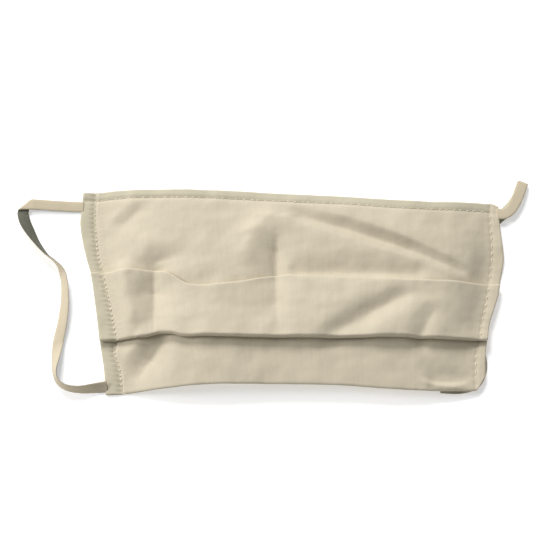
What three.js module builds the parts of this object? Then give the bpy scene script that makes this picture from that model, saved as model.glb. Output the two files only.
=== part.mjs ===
// Cloth face mask with one box pleat and two flat elastic ear loops, lying face up on a table.
// Millimetres, +X along the long side, +Y towards the upper (nose) edge, +Z away from the table.
import * as THREE from 'three';

// Named sizes.
const maskWidth = 184;      // across the upper part, outer edge of one side hem to the other
const maskHeight = 93;      // upper edge to lower edge, pleats closed, along the left side
const clothWall = 1.0;      // doubled cotton cloth of the panel
const hemWall = 1.3;        // turned and stitched margin, one more turn of cloth
const hemWidth = 5.0;       // width of the turned margin where its share is 1
const topHemWidth = 3.9;    // width of the margin along the upper edge
const seamGap = 0.3;        // clearance between two pieces that touch
const layerPitch = 1.6;     // height from one folded layer to the next
const pleatDepth = 10;      // how far each fold runs back under the raised middle
const domeRise = 8.5;       // height that the cloth over the hollow climbs towards
const domeShoulder = 12;    // distance in from a side hem where it has climbed half of that
const creaseRise = 2.4;     // height of a crease whose share is 1
const creaseBlend = 5;      // how sharply the strongest of several creases stands out from the others
const lipRise = 2.0;        // how far the lower fold edge of the raised middle stands off
const cornerRise = 1.6;     // right-hand corners lie on the ear loop that runs under them
const cornerSpread = 14;    // length of hem that is lifted at such a corner
const strapWidth = 5.0;     // flat ear elastic
const strapThick = 0.8;
const strapRoll = 0.9;      // radius of the soft fold where a strap turns over
const strapSteps = 56;      // length steps of one strap
const tableGap = 0.12;      // clearance of a strap that lies on the table

const halfWidth = maskWidth / 2;
const halfHeight = maskHeight / 2;
const foldRadius = layerPitch / 2;
const baseLevel = hemWall / 2;

// Tables: shares of the half width (x), the half height (y).
// Outer edges at sections down the mask, as shares of the half width, and the width of the
// margin there, as shares of hemWidth.
const edgeRows = [
  { y: 1.02, left: -1.006, right: 0.990, leftHem: 1.15, rightHem: 0.80 },
  { y: 0.84, left: -1.012, right: 0.992, leftHem: 1.20, rightHem: 0.75 },
  { y: 0.70, left: -1.015, right: 0.993, leftHem: 1.32, rightHem: 0.78 },
  { y: 0.50, left: -0.998, right: 1.000, leftHem: 1.22, rightHem: 0.86 },
  { y: 0.34, left: -0.977, right: 1.006, leftHem: 1.06, rightHem: 1.00 },
  { y: 0.20, left: -0.955, right: 0.995, leftHem: 1.04, rightHem: 0.95 },
  { y: 0.07, left: -0.940, right: 0.979, leftHem: 1.10, rightHem: 0.90 },
  { y: -0.05, left: -0.930, right: 0.968, leftHem: 1.18, rightHem: 0.93 },
  { y: -0.20, left: -0.917, right: 0.942, leftHem: 1.28, rightHem: 0.75 },
  { y: -0.33, left: -0.907, right: 0.920, leftHem: 1.33, rightHem: 0.64 },
  { y: -0.48, left: -0.896, right: 0.906, leftHem: 1.40, rightHem: 0.64 },
  { y: -0.60, left: -0.886, right: 0.896, leftHem: 1.10, rightHem: 0.74 },
  { y: -0.76, left: -0.871, right: 0.891, leftHem: 1.32, rightHem: 0.82 },
  { y: -0.88, left: -0.865, right: 0.888, leftHem: 1.38, rightHem: 0.80 },
  { y: -1.02, left: -0.857, right: 0.885, leftHem: 1.40, rightHem: 0.80 },
];

// Upper edge, fold edges of the raised middle and lower edge, at stations across the mask.
const crossRows = [
  { x: -1.00, top: 1.008, upFold: 0.180, lowFold: -0.500, bottom: -1.000 },
  { x: -0.88, top: 1.012, upFold: 0.178, lowFold: -0.490, bottom: -0.985 },
  { x: -0.79, top: 1.013, upFold: 0.174, lowFold: -0.486, bottom: -0.972 },
  { x: -0.71, top: 1.012, upFold: 0.168, lowFold: -0.456, bottom: -0.962 },
  { x: -0.65, top: 1.011, upFold: 0.160, lowFold: -0.466, bottom: -0.955 },
  { x: -0.60, top: 1.010, upFold: 0.100, lowFold: -0.496, bottom: -0.948 },
  { x: -0.55, top: 1.009, upFold: 0.028, lowFold: -0.504, bottom: -0.943 },
  { x: -0.48, top: 1.006, upFold: 0.000, lowFold: -0.505, bottom: -0.937 },
  { x: -0.27, top: 0.985, upFold: 0.040, lowFold: -0.512, bottom: -0.932 },
  { x: -0.09, top: 0.958, upFold: 0.105, lowFold: -0.515, bottom: -0.932 },
  { x: 0.22, top: 0.920, upFold: 0.080, lowFold: -0.515, bottom: -0.942 },
  { x: 0.50, top: 0.888, upFold: 0.062, lowFold: -0.508, bottom: -0.974 },
  { x: 0.67, top: 0.878, upFold: 0.050, lowFold: -0.514, bottom: -0.984 },
  { x: 0.84, top: 0.880, upFold: 0.054, lowFold: -0.510, bottom: -0.980 },
  { x: 0.95, top: 0.882, upFold: 0.060, lowFold: -0.502, bottom: -0.966 },
  { x: 1.00, top: 0.848, upFold: 0.062, lowFold: -0.500, bottom: -0.826 },
];

// Height of the hollow down the mask, as a share of domeRise.
const domeRows = [
  { y: 1.05, high: 0.52 },
  { y: 0.70, high: 0.74 },
  { y: 0.30, high: 0.94 },
  { y: -0.10, high: 1.00 },
  { y: -0.50, high: 0.88 },
  { y: -1.05, high: 0.60 },
];

// Creases of the whole stack, each a line of points. rise is a share of creaseRise, negative for a
// valley. right and left are how far it spreads to either side of the line, as shares of the half
// height. A low power makes a sharp line and a high one a soft roll.
const creases = [
  // pressed line down the middle: the cloth falls to it from the left and stands up at its right
  {
    power: 1.0,
    line: [
      { x: -0.073, y: 0.55, rise: -0.05, right: 0.10, left: 0.08 },
      { x: -0.073, y: 0.34, rise: -1.30, right: 0.13, left: 0.08 },
      { x: -0.073, y: 0.10, rise: -1.50, right: 0.16, left: 0.09 },
      { x: -0.073, y: -0.18, rise: -1.40, right: 0.34, left: 0.10 },
      { x: -0.068, y: -0.38, rise: -0.70, right: 0.30, left: 0.12 },
      { x: -0.06, y: -0.54, rise: -0.15, right: 0.20, left: 0.12 },
    ],
  },
  {
    power: 1.8,
    line: [
      { x: -0.30, y: 0.04, rise: 0.25, right: 0.20, left: 0.16 },
      { x: -0.30, y: -0.42, rise: 0.25, right: 0.20, left: 0.16 },
    ],
  },
  // arch round the top of the tented middle, and the long ridge from it to the pleat's right end
  {
    power: 1.6,
    line: [
      { x: -0.22, y: 0.18, rise: 0.25, right: 0.14, left: 0.11 },
      { x: -0.215, y: 0.36, rise: 0.75, right: 0.18, left: 0.10 },
      { x: -0.185, y: 0.56, rise: 1.00, right: 0.24, left: 0.10 },
      { x: -0.115, y: 0.69, rise: 1.00, right: 0.24, left: 0.09 },
      { x: -0.03, y: 0.685, rise: 0.75, right: 0.26, left: 0.08 },
      { x: 0.243, y: 0.475, rise: 0.50, right: 0.24, left: 0.07 },
      { x: 0.453, y: 0.33, rise: 0.45, right: 0.20, left: 0.07 },
      { x: 0.77, y: 0.10, rise: 0.30, right: 0.14, left: 0.06 },
    ],
  },
  // roll above the ridge, steep on its lower side, and the valley between the two
  {
    power: 1.6,
    line: [
      { x: 0.02, y: 0.81, rise: 0.30, right: 0.10, left: 0.20 },
      { x: 0.26, y: 0.70, rise: 0.85, right: 0.08, left: 0.22 },
      { x: 0.50, y: 0.525, rise: 0.95, right: 0.06, left: 0.22 },
      { x: 0.80, y: 0.255, rise: 0.35, right: 0.05, left: 0.16 },
    ],
  },
  {
    power: 1.6,
    line: [
      { x: 0.05, y: 0.69, rise: -0.35, right: 0.06, left: 0.09 },
      { x: 0.25, y: 0.59, rise: -0.60, right: 0.06, left: 0.08 },
      { x: 0.53, y: 0.385, rise: -0.70, right: 0.05, left: 0.08 },
      { x: 0.79, y: 0.17, rise: -0.30, right: 0.04, left: 0.07 },
    ],
  },
  // dip just above the upper fold edge
  {
    power: 1.7,
    line: [
      { x: 0.02, y: 0.145, rise: -0.80, right: 0.07, left: 0.12 },
      { x: 0.58, y: 0.125, rise: -0.65, right: 0.07, left: 0.12 },
    ],
  },
  // bend round the left end of the pleat, the roll outside it and the puff inside it
  {
    power: 1.5,
    line: [
      { x: -0.70, y: 0.15, rise: -0.50, right: 0.06, left: 0.09 },
      { x: -0.632, y: 0.255, rise: -0.85, right: 0.06, left: 0.09 },
      { x: -0.52, y: 0.30, rise: -0.30, right: 0.07, left: 0.09 },
    ],
  },
  {
    power: 1.8,
    line: [
      { x: -0.78, y: 0.21, rise: 0.30, right: 0.10, left: 0.14 },
      { x: -0.68, y: 0.39, rise: 0.50, right: 0.10, left: 0.14 },
      { x: -0.55, y: 0.46, rise: 0.25, right: 0.10, left: 0.14 },
    ],
  },
  {
    power: 1.8,
    line: [
      { x: -0.52, y: 0.15, rise: 0.55, right: 0.18, left: 0.13 },
      { x: -0.47, y: 0.17, rise: 0.50, right: 0.18, left: 0.13 },
    ],
  },
  // pressed line at the left of the raised middle, and the soft rolls beside it
  {
    power: 1.1,
    line: [
      { x: -0.648, y: 0.14, rise: -1.50, right: 0.14, left: 0.20 },
      { x: -0.646, y: -0.06, rise: -2.20, right: 0.16, left: 0.26 },
      { x: -0.641, y: -0.30, rise: -1.60, right: 0.15, left: 0.22 },
      { x: -0.641, y: -0.52, rise: -0.45, right: 0.12, left: 0.12 },
    ],
  },
  {
    power: 1.8,
    line: [
      { x: -0.54, y: 0.02, rise: 0.30, right: 0.14, left: 0.36 },
      { x: -0.54, y: -0.44, rise: 0.40, right: 0.14, left: 0.36 },
    ],
  },
  {
    power: 1.8,
    line: [
      { x: -0.795, y: 0.12, rise: 1.50, right: 0.12, left: 0.15 },
      { x: -0.775, y: -0.30, rise: 1.30, right: 0.12, left: 0.15 },
      { x: -0.77, y: -0.48, rise: 0.60, right: 0.12, left: 0.15 },
    ],
  },
  // slanting roll, valley and bulge at the right of the raised middle
  {
    power: 1.8,
    line: [
      { x: 0.52, y: 0.02, rise: 0.20, right: 0.20, left: 0.10 },
      { x: 0.36, y: -0.13, rise: 0.50, right: 0.20, left: 0.10 },
      { x: 0.14, y: -0.38, rise: 0.35, right: 0.20, left: 0.10 },
    ],
  },
  {
    power: 1.6,
    line: [
      { x: 0.58, y: -0.07, rise: -0.40, right: 0.12, left: 0.11 },
      { x: 0.43, y: -0.20, rise: -0.90, right: 0.13, left: 0.12 },
      { x: 0.29, y: -0.36, rise: -1.00, right: 0.13, left: 0.12 },
      { x: 0.16, y: -0.50, rise: -0.50, right: 0.13, left: 0.12 },
    ],
  },
  {
    power: 2.0,
    line: [
      { x: 0.44, y: -0.38, rise: 0.40, right: 0.15, left: 0.14 },
      { x: 0.54, y: -0.27, rise: 0.45, right: 0.15, left: 0.14 },
    ],
  },
  {
    power: 1.6,
    line: [
      { x: 0.645, y: -0.27, rise: -0.35, right: 0.10, left: 0.06 },
      { x: 0.59, y: -0.49, rise: -0.50, right: 0.10, left: 0.06 },
    ],
  },
  // slanting pressed line at the left of the lower panel, and the rolls on both sides of it
  {
    power: 1.3,
    line: [
      { x: -0.60, y: -0.52, rise: -1.20, right: 0.15, left: 0.12 },
      { x: -0.655, y: -0.68, rise: -1.60, right: 0.16, left: 0.12 },
      { x: -0.735, y: -0.86, rise: -0.70, right: 0.14, left: 0.12 },
    ],
  },
  {
    power: 1.8,
    line: [
      { x: -0.34, y: -0.60, rise: 0.70, right: 0.36, left: 0.44 },
      { x: -0.36, y: -0.92, rise: 0.70, right: 0.36, left: 0.44 },
    ],
  },
  {
    power: 1.8,
    line: [
      { x: -0.72, y: -0.50, rise: 0.60, right: 0.10, left: 0.09 },
      { x: -0.81, y: -0.74, rise: 0.50, right: 0.10, left: 0.09 },
    ],
  },
  // small slanting dents by the upper left corner
  {
    power: 1.7,
    line: [
      { x: -0.73, y: 0.78, rise: -0.40, right: 0.06, left: 0.12 },
      { x: -0.80, y: 0.66, rise: -0.35, right: 0.06, left: 0.12 },
    ],
  },
  {
    power: 1.7,
    line: [
      { x: -0.77, y: 0.86, rise: 0.20, right: 0.08, left: 0.07 },
      { x: -0.85, y: 0.74, rise: 0.25, right: 0.08, left: 0.07 },
    ],
  },
  // curled lower right corner
  {
    power: 2.0,
    line: [
      { x: 0.66, y: -0.86, rise: -0.45, right: 0.09, left: 0.09 },
      { x: 0.78, y: -0.86, rise: -0.45, right: 0.09, left: 0.09 },
    ],
  },
];

// How far the raised middle stands off the folds under it, across the mask.
const lipRows = [
  { x: -1.00, off: 0.00 },
  { x: -0.84, off: 0.00 },
  { x: -0.64, off: 0.65 },
  { x: -0.52, off: 0.65 },
  { x: -0.30, off: 0.85 },
  { x: 0.00, off: 1.00 },
  { x: 0.45, off: 0.95 },
  { x: 0.75, off: 0.55 },
  { x: 0.92, off: 0.05 },
  { x: 1.00, off: 0.00 },
];

// Steps of the cloth's grid across the mask: closer at the two upright creases.
const columnRuns = [
  { from: 0.00, to: 0.17, steps: 7 },
  { from: 0.17, to: 0.46, steps: 10 },
  { from: 0.46, to: 0.56, steps: 4 },
  { from: 0.56, to: 1.00, steps: 13 },
];
// Steps down the mask of each straight run and each fold of the section.
const runSteps = { upper: 12, hidden: 2, middle: 7, lower: 8, fold: 3 };

// Ear loops: out is the distance outside the hem's edge, y the height on the mask, roll the
// twist of the strap about its own length, lift its height above lying on the table.
const leftLoopRows = [
  { out: seamGap, y: 40.0, roll: 0, lift: baseLevel - strapThick / 2 },
  { out: 4.0, y: 40.1, roll: 0, lift: 0.4 },
  { out: 11.0, y: 40.5, roll: 0, lift: 1.1 },
  { out: 17.0, y: 41.0, roll: 0, lift: 1.7 },
  { turnOver: 40, out: 22.4, y: 40.8, heading: 180, lift: 0.25 },
  { out: 24.3, y: 34.0, roll: 168, lift: 0.25 },
  { out: 23.0, y: 29.5, roll: 150, lift: 0.05 },
  { out: 20.6, y: 22.5, roll: 122, lift: 0 },
  { out: 17.0, y: 16.8, roll: 106, lift: 0 },
  { out: 13.8, y: 12.8, roll: 90, lift: 0 },
  { out: 12.2, y: 8.0, roll: 56, lift: 0 },
  { out: 12.6, y: -2.3, roll: 42, lift: 0 },
  { out: 14.8, y: -12.9, roll: 28, lift: 0 },
  { out: 17.9, y: -23.3, roll: 14, lift: 0 },
  { out: 19.8, y: -31.0, roll: 44, lift: 0 },
  { out: 20.9, y: -36.6, roll: 66, lift: 0 },
  { out: 19.9, y: -40.8, roll: 76, lift: 0 },
  { out: 16.6, y: -43.6, roll: 76, lift: 0 },
  { out: 10.8, y: -44.6, roll: 68, lift: 0 },
  { out: 5.0, y: -44.0, roll: 50, lift: 0 },
  { out: seamGap, y: -43.2, roll: 25, lift: 0 },
];
const rightLoopRows = [
  { out: seamGap, y: 36.1, roll: 0, lift: 1.9 },
  { out: 2.5, y: 36.2, roll: 0, lift: 1.9 },
  { out: 5.1, y: 38.0, roll: 0, lift: 1.9 },
  { out: 7.3, y: 41.2, roll: 0, lift: 1.9 },
  { out: 9.3, y: 45.2, roll: 0, lift: 1.9 },
  { turnOver: 90, out: 11.6, y: 51.2, heading: 68, lift: 0.1 },
  { out: 9.3, y: 45.2, roll: 180, lift: 0 },
  { out: 5.4, y: 39.6, roll: 180, lift: 0 },
  { out: -0.5, y: 34.4, roll: 180, lift: 0 },
  { out: -9.0, y: 27.0, roll: 180, lift: 0 },
  { out: -17.0, y: 16.0, roll: 180, lift: 0 },
  { out: -20.5, y: 3.0, roll: 180, lift: 0 },
  { out: -16.0, y: -11.0, roll: 180, lift: 0 },
  { out: -6.0, y: -22.0, roll: 180, lift: 0 },
  { out: -2.2, y: -29.0, roll: 180, lift: 0 },
  { out: -1.9, y: -36.0, roll: 180, lift: 0 },
  { out: -4.6, y: -41.4, roll: 180, lift: 0 },
  { out: -10.5, y: -43.4, roll: 180, lift: 0 },
  { out: -19.0, y: -43.2, roll: 180, lift: 0 },
];

// Small functions.
const mix = (a, b, t) => a + (b - a) * t;
const clamp = (v, lo, hi) => Math.min(hi, Math.max(lo, v));
const ease = (t) => {
  const c = clamp(t, 0, 1);
  return c * c * (3 - 2 * c);
};

// Smooth value of one column of a table, read at a place along its first column.
function tableAt(rows, key, column, place) {
  const order = rows[0][key] < rows[1][key] ? rows : [...rows].reverse();
  const last = order.length - 1;
  const at = clamp(place, order[0][key], order[last][key]);
  let i = 0;
  while (i < last - 1 && at > order[i + 1][key]) i += 1;
  const [a, b] = [order[i], order[i + 1]];
  const span = b[key] - a[key];
  const slope = (p, q) => (q[column] - p[column]) / (q[key] - p[key]);
  const here = slope(a, b);
  const gentle = (s) => (s * here <= 0 ? 0 : Math.sign(here) * Math.min(Math.abs(s), 3 * Math.abs(here)));
  const startSlope = i > 0 ? gentle((slope(order[i - 1], a) + here) / 2) : here;
  const endSlope = i < last - 1 ? gentle((here + slope(b, order[i + 2])) / 2) : here;
  const t = (at - a[key]) / span;
  const t2 = t * t;
  const t3 = t2 * t;
  return (2 * t3 - 3 * t2 + 1) * a[column] + (t3 - 2 * t2 + t) * span * startSlope
    + (3 * t2 - 2 * t3) * b[column] + (t3 - t2) * span * endSlope;
}

const leftEdge = (y) => halfWidth * tableAt(edgeRows, 'y', 'left', y / halfHeight);
const rightEdge = (y) => halfWidth * tableAt(edgeRows, 'y', 'right', y / halfHeight);
const leftHemAt = (y) => hemWidth * tableAt(edgeRows, 'y', 'leftHem', y / halfHeight);
const rightHemAt = (y) => hemWidth * tableAt(edgeRows, 'y', 'rightHem', y / halfHeight);
const crossLine = (column, across) => halfHeight * tableAt(crossRows, 'x', column, 2 * across - 1);

// Height of one crease at a point, as a share of creaseRise: the strongest of its runs.
function creaseShare(crease, x, y) {
  let strongest = 0;
  for (let i = 0; i < crease.line.length - 1; i += 1) {
    const [start, end] = [crease.line[i], crease.line[i + 1]];
    const ax = start.x * halfWidth;
    const ay = start.y * halfHeight;
    const dx = end.x * halfWidth - ax;
    const dy = end.y * halfHeight - ay;
    const along = clamp(((x - ax) * dx + (y - ay) * dy) / (dx * dx + dy * dy), 0, 1);
    const offX = x - ax - along * dx;
    const offY = y - ay - along * dy;
    const away = Math.hypot(offX, offY);
    const side = (dx * offY - dy * offX) / (Math.max(away, 1e-6) * Math.hypot(dx, dy));
    const right = mix(start.right, end.right, along);
    const left = mix(start.left, end.left, along);
    const spread = halfHeight * mix(right, left, (1 + side) / 2);
    const height = mix(start.rise, end.rise, along) * Math.exp(-Math.pow(away / spread, crease.power));
    if (Math.abs(height) > Math.abs(strongest)) strongest = height;
  }
  return strongest;
}

// Lift of a right-hand corner over the ear loop under it.
function cornerHeight(x, y) {
  const topY = crossLine('top', 1);
  const lowY = crossLine('bottom', 1);
  const fromTop = Math.hypot(x - rightEdge(topY), y - topY);
  const fromLow = Math.hypot(x - rightEdge(lowY), y - lowY);
  const top = 1 - ease((fromTop - cornerSpread) / (1.3 * cornerSpread));
  const low = 1 - ease((fromLow - 0.8 * cornerSpread) / cornerSpread);
  return cornerRise * Math.max(top, low);
}

// Height of the whole stack of cloth above lying flat.
function reliefHeight(x, y) {
  const inward = Math.max(0, Math.min(x - leftEdge(y) - leftHemAt(y), rightEdge(y) - x - rightHemAt(y)));
  const climb = inward / domeShoulder;
  const shoulder = climb * climb / (1 + climb * climb);
  let ridges = 0;
  let valleys = 0;
  for (const crease of creases) {
    const share = creaseShare(crease, x, y);
    ridges += Math.pow(Math.max(share, 0), creaseBlend);
    valleys += Math.pow(Math.max(-share, 0), creaseBlend);
  }
  const creased = creaseRise * (Math.pow(ridges, 1 / creaseBlend) - Math.pow(valleys, 1 / creaseBlend));
  const dome = domeRise * tableAt(domeRows, 'y', 'high', y / halfHeight) * shoulder;
  const edgeFade = ease(inward / (hemWidth * 2));
  return Math.max(0, dome + creased * edgeFade) + cornerHeight(x, y) * (1 - shoulder);
}

// Stand-off of the raised middle: nothing at its upper fold, full at its lower fold.
function lipHeight(x, y, across) {
  const up = crossLine('upFold', across);
  const low = crossLine('lowFold', across);
  const share = Math.pow(clamp((up - y) / (up - low), 0, 1), 1.3);
  return lipRise * tableAt(lipRows, 'x', 'off', x / halfWidth) * share;
}

// Section of the folded cloth at one station across: points on the wall's middle line, with the
// direction of its face and how much of the lip's stand-off each takes.
function foldedSection(across, startY, endY) {
  const upY = crossLine('upFold', across) - clothWall / 2;
  const lowY = crossLine('lowFold', across) + clothWall / 2;
  const underUpY = upY - pleatDepth;
  const underLowY = lowY + pleatDepth;
  const level = [baseLevel, baseLevel + layerPitch, baseLevel + 2 * layerPitch];
  const points = [];
  const straight = (fromY, toY, z, face, off, steps, withLast) => {
    for (let i = 0; i < steps + (withLast ? 1 : 0); i += 1) {
      points.push({ y: mix(fromY, toY, i / steps), z, ny: 0, nz: face, off });
    }
  };
  // bulge is +1 where the fold points to the upper edge; rising is +1 where it climbs a layer.
  const fold = (centreY, lowZ, bulge, rising, faceOut, takesOff) => {
    for (let i = 0; i < runSteps.fold; i += 1) {
      const turn = Math.PI * i / runSteps.fold;
      const outY = bulge * Math.sin(turn);
      const outZ = -rising * Math.cos(turn);
      const share = rising > 0 ? (1 - Math.cos(turn)) / 2 : (1 + Math.cos(turn)) / 2;
      points.push({
        y: centreY + foldRadius * outY,
        z: lowZ + foldRadius + foldRadius * outZ,
        ny: faceOut * outY,
        nz: faceOut * outZ,
        off: takesOff ? share : 0,
      });
    }
  };
  straight(startY, underUpY + foldRadius, level[0], 1, 0, runSteps.upper, false);
  fold(underUpY + foldRadius, level[0], -1, 1, -1, false);
  straight(underUpY + foldRadius, upY - foldRadius, level[1], -1, 0, runSteps.hidden, false);
  fold(upY - foldRadius, level[1], 1, 1, 1, true);
  straight(upY - foldRadius, lowY + foldRadius, level[2], 1, 1, runSteps.middle, false);
  fold(lowY + foldRadius, level[1], -1, -1, 1, true);
  straight(lowY + foldRadius, underLowY - foldRadius, level[1], -1, 0, runSteps.hidden, false);
  fold(underLowY - foldRadius, level[0], 1, -1, -1, false);
  straight(underLowY - foldRadius, endY, level[0], 1, 0, runSteps.lower, true);
  return points;
}

// Flat section of a strip that takes no part in the pleat.
function flatSection(startY, endY, steps) {
  const points = [];
  for (let i = 0; i <= steps; i += 1) {
    points.push({ y: mix(startY, endY, i / steps), z: baseLevel, ny: 0, nz: 1, off: 0 });
  }
  return points;
}

// Closed solid of a cloth strip from its sections: a face side, a back side and a rim.
function clothSolid(shares, acrossOf, sectionOf, xOf, wall) {
  const sections = shares.map((share) => sectionOf(acrossOf(share)));
  const rows = sections[0].length;
  const columns = shares.length;
  const positions = [];
  for (const side of [1, -1]) {
    for (let i = 0; i < rows; i += 1) {
      for (let j = 0; j < columns; j += 1) {
        const point = sections[j][i];
        const y = point.y + side * point.ny * wall / 2;
        const x = xOf(shares[j], y);
        const lift = reliefHeight(x, y) + point.off * lipHeight(x, y, acrossOf(shares[j]));
        positions.push(x, y, point.z + side * point.nz * wall / 2 + lift);
      }
    }
  }
  const back = rows * columns;
  const at = (i, j) => i * columns + j;
  const index = [];
  for (let i = 0; i < rows - 1; i += 1) {
    for (let j = 0; j < columns - 1; j += 1) {
      const [a, b, c, d] = [at(i, j), at(i + 1, j), at(i + 1, j + 1), at(i, j + 1)];
      index.push(a, b, c, a, c, d);
      index.push(back + a, back + c, back + b, back + a, back + d, back + c);
    }
  }
  const rim = [];
  for (let i = 0; i < rows - 1; i += 1) rim.push([at(i, 0), at(i + 1, 0)]);
  for (let j = 0; j < columns - 1; j += 1) rim.push([at(rows - 1, j), at(rows - 1, j + 1)]);
  for (let i = rows - 1; i > 0; i -= 1) rim.push([at(i, columns - 1), at(i - 1, columns - 1)]);
  for (let j = columns - 1; j > 0; j -= 1) rim.push([at(0, j), at(0, j - 1)]);
  for (const [a, b] of rim) index.push(b, a, back + a, b, back + a, back + b);
  const geometry = new THREE.BufferGeometry();
  geometry.setAttribute('position', new THREE.Float32BufferAttribute(positions, 3));
  geometry.setIndex(index);
  geometry.computeVertexNormals();
  return geometry;
}

// Cloth pieces.
const hemShare = hemWidth / maskWidth;
const insetShare = (hemWidth + seamGap) / maskWidth;
const panelShares = [0];
for (const run of columnRuns) {
  for (let i = 1; i <= run.steps; i += 1) panelShares.push(mix(run.from, run.to, i / run.steps));
}
const panelAcross = (share) => mix(insetShare, 1 - insetShare, share);
const panelX = (share, y) => (
  mix(leftEdge(y) + leftHemAt(y) + seamGap, rightEdge(y) - rightHemAt(y) - seamGap, share)
);

const pleatedPanel = clothSolid(
  panelShares,
  panelAcross,
  (across) => foldedSection(across, crossLine('top', across) - topHemWidth - seamGap, crossLine('bottom', across)),
  panelX,
  clothWall,
);

const topHem = clothSolid(
  panelShares,
  panelAcross,
  (across) => flatSection(crossLine('top', across), crossLine('top', across) - topHemWidth, 2),
  panelX,
  hemWall,
);

const wholeSection = (across) => (
  foldedSection(across, crossLine('top', across), crossLine('bottom', across))
);
const leftSideHem = clothSolid(
  [0, 0.5, 1],
  (share) => share * hemShare,
  wholeSection,
  (share, y) => leftEdge(y) + share * leftHemAt(y),
  hemWall,
);
const rightSideHem = clothSolid(
  [0, 0.5, 1],
  (share) => 1 - hemShare + share * hemShare,
  wholeSection,
  (share, y) => rightEdge(y) - (1 - share) * rightHemAt(y),
  hemWall,
);

// Ear loops.
// Curve through the strap's middle that carries the direction of the strap's width.
class StrapCurve extends THREE.CatmullRomCurve3 {
  constructor(points, widths) {
    super(points, false, 'centripetal');
    this.widths = widths;
  }

  computeFrenetFrames(segments) {
    const tangents = [];
    const normals = [];
    const binormals = [];
    for (let i = 0; i <= segments; i += 1) {
      const u = i / segments;
      const place = this.getUtoTmapping(u) * (this.widths.length - 1);
      const k = Math.min(Math.floor(place), this.widths.length - 2);
      const tangent = this.getTangentAt(u).normalize();
      const width = this.widths[k].clone().lerp(this.widths[k + 1], place - k);
      width.addScaledVector(tangent, -width.dot(tangent)).normalize();
      tangents.push(tangent);
      normals.push(width);
      binormals.push(new THREE.Vector3().crossVectors(tangent, width));
    }
    return { tangents, normals, binormals };
  }
}

// Height of the middle of a strap that touches the table, from the upward share of its width.
function restHeight(upright) {
  const flat = Math.sqrt(Math.max(0, 1 - upright * upright));
  return flat * strapThick / 2 + Math.abs(upright) * strapWidth / 2 + tableGap;
}

// Half turn of a strap about a line that lies at the given angle to its heading.
function turnOverRows(row, x) {
  const heading = THREE.MathUtils.degToRad(row.heading);
  const bend = THREE.MathUtils.degToRad(row.turnOver);
  const lineAngle = heading + bend;
  const line = new THREE.Vector3(Math.cos(lineAngle), Math.sin(lineAngle), 0);
  const over = new THREE.Vector3(Math.sin(lineAngle), -Math.cos(lineAngle), 0);
  const up = new THREE.Vector3(0, 0, 1);
  const rows = [];
  for (let i = 0; i <= 4; i += 1) {
    const turn = Math.PI * i / 4;
    const forward = strapRoll * turn / Math.tan(bend);
    const point = new THREE.Vector3(x, row.y, 0);
    point.addScaledVector(line, forward).addScaledVector(over, strapRoll * Math.sin(turn));
    const round = over.clone().multiplyScalar(Math.cos(turn)).addScaledVector(up, -Math.sin(turn));
    const width = line.clone().multiplyScalar(Math.sin(bend)).addScaledVector(round, -Math.cos(bend));
    const rolled = restHeight(0) + strapRoll * (1 + Math.cos(turn));
    point.z = row.lift + Math.max(rolled, restHeight(width.z));
    rows.push({ point, width });
  }
  return rows;
}

function strapSolid(tableRows, edgeAt, outward) {
  const places = tableRows.map((row) => ({ row, x: edgeAt(row.y) + outward * row.out }));
  const list = [];
  places.forEach(({ row, x }, i) => {
    if (row.turnOver) {
      list.push(...turnOverRows(row, x));
      return;
    }
    const before = places[Math.max(0, i - 1)];
    const after = places[Math.min(places.length - 1, i + 1)];
    const heading = Math.atan2(after.row.y - before.row.y, after.x - before.x);
    const roll = THREE.MathUtils.degToRad(row.roll);
    const width = new THREE.Vector3(
      -Math.sin(heading) * Math.cos(roll),
      Math.cos(heading) * Math.cos(roll),
      Math.sin(roll),
    );
    list.push({ point: new THREE.Vector3(x, row.y, restHeight(width.z) + row.lift), width });
  });
  const curve = new StrapCurve(list.map((p) => p.point), list.map((p) => p.width));
  curve.arcLengthDivisions = 600;
  const w = strapWidth / 2;
  const t = strapThick / 2;
  const outline = new THREE.Shape([
    new THREE.Vector2(w, -t / 2),
    new THREE.Vector2(w, t / 2),
    new THREE.Vector2(w - t, t),
    new THREE.Vector2(t - w, t),
    new THREE.Vector2(-w, t / 2),
    new THREE.Vector2(-w, -t / 2),
    new THREE.Vector2(t - w, -t),
    new THREE.Vector2(w - t, -t),
  ]);
  return new THREE.ExtrudeGeometry(outline, { steps: strapSteps, bevelEnabled: false, extrudePath: curve });
}

const leftLoop = strapSolid(leftLoopRows, leftEdge, -1);
const rightLoop = strapSolid(rightLoopRows, rightEdge, 1);

// Assembly: stood on the table, centred on the cloth.
const clothBox = new THREE.Box3();
for (const geometry of [pleatedPanel, topHem, leftSideHem, rightSideHem]) {
  geometry.computeBoundingBox();
  clothBox.union(geometry.boundingBox);
}
const centre = clothBox.getCenter(new THREE.Vector3());

const group = new THREE.Group();
function addPiece(name, geometry, colour) {
  geometry.translate(-centre.x, -centre.y, -clothBox.min.z);
  const mesh = new THREE.Mesh(geometry, new THREE.MeshStandardMaterial({ color: colour, roughness: 0.95 }));
  mesh.name = name;
  group.add(mesh);
}
addPiece('pleated_panel', pleatedPanel, 0xd8ccb2);
addPiece('top_hem', topHem, 0xd2c6ab);
addPiece('left_side_hem', leftSideHem, 0xcfc3a8);
addPiece('right_side_hem', rightSideHem, 0xcfc3a8);
addPiece('left_ear_loop', leftLoop, 0xc9bfa5);
addPiece('right_ear_loop', rightLoop, 0xc9bfa5);

export default group;
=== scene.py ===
"""Cloth face mask with one box pleat and two flat elastic ear loops, lying face up."""
import math
from collections import namedtuple

import bpy
import numpy as np
from mathutils import Matrix, Vector


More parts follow.
